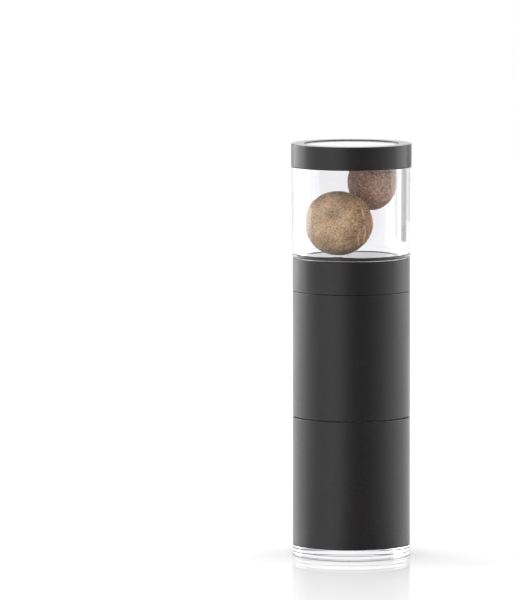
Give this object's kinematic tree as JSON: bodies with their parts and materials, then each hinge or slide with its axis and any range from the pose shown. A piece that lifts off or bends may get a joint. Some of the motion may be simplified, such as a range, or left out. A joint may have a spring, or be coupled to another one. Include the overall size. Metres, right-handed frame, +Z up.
{
  "type": "mechanical nutmeg grater",
  "caption": "Slim upright twist mill that grates nutmeg through a toothed disc in its base, with a clear lidded jar for spare nuts on top.",
  "frame": {"origin": "middle of the foot, on the surface that the mill stands on", "axes": "+Z up along the mill's axis; the mill is round, so +X and +Y only place the nuts in the jar"},
  "size_m": [0.041, 0.041, 0.1405],
  "materials": {
    "clear_acrylic": "clear, polished",
    "opal_acrylic": "opal white, polished",
    "black_abs": "satin, moulded",
    "grey_acetal": "natural acetal, moulded",
    "stainless_blade": "punched and brushed",
    "stainless_bar": "drawn",
    "spring_steel": "drawn wire",
    "zinc_steel": "bright zinc",
    "silicone": "translucent white silicone",
    "ptfe": "PTFE sheet",
    "sintered_bronze": "sintered",
    "nutmeg": "dry, fibrous seed"
  },
  "bodies": {
    "base": {"base_cap": "clear_acrylic", "base_cap_seal": "silicone"},
    "grip": {"grip_sleeve": "black_abs", "chamber_tube": "grey_acetal", "grating_disc": "stainless_blade", "disc_retainer": "grey_acetal", "retainer_screws": "zinc_steel"},
    "carrier": {"carrier_ring": "grey_acetal", "carrier_seal": "silicone", "thrust_washer": "ptfe"},
    "head": {"head_sleeve": "black_abs", "head_core": "grey_acetal", "swivel_clip": "spring_steel", "guide_bush": "sintered_bronze", "spring_seat": "zinc_steel"},
    "presser": {"drive_shaft": "stainless_bar", "shaft_clip": "spring_steel", "presser_plate": "grey_acetal", "presser_claws": "stainless_bar", "shaft_screw": "zinc_steel", "presser_spring": "spring_steel"},
    "store": {"storage_collar": "black_abs", "collar_seal": "silicone", "storage_jar": "clear_acrylic", "lid_seal": "silicone", "spare_nut_large": "nutmeg", "spare_nut_small": "nutmeg"},
    "lid": {"lid_ring": "black_abs", "lid_window": "opal_acrylic"}
  },
  "joints": [
    {"name": "mill_off_base", "type": "slide", "parent": "base", "child": "grip", "axis": [0, 0, 1], "range_m": [0, 0.03]},
    {"name": "head_off_grip", "type": "slide", "parent": "grip", "child": "carrier", "axis": [0, 0, 1], "range_m": [0, 0.045]},
    {"name": "head_turn", "type": "hinge", "parent": "carrier", "child": "head", "pos_m": [0, 0, 0.04745], "axis": [0, 0, 1], "continuous": true},
    {"name": "presser_travel", "type": "slide", "parent": "head", "child": "presser", "axis": [0, 0, 1], "range_m": [0, 0.022], "stiffness_N_per_m": 250, "springref_m": -0.02, "deforming": ["presser_spring"]},
    {"name": "store_off_head", "type": "slide", "parent": "head", "child": "store", "axis": [0, 0, 1], "range_m": [0, 0.03]},
    {"name": "lid_off_jar", "type": "slide", "parent": "store", "child": "lid", "axis": [0, 0, 1], "range_m": [0, 0.03]}
  ]
}
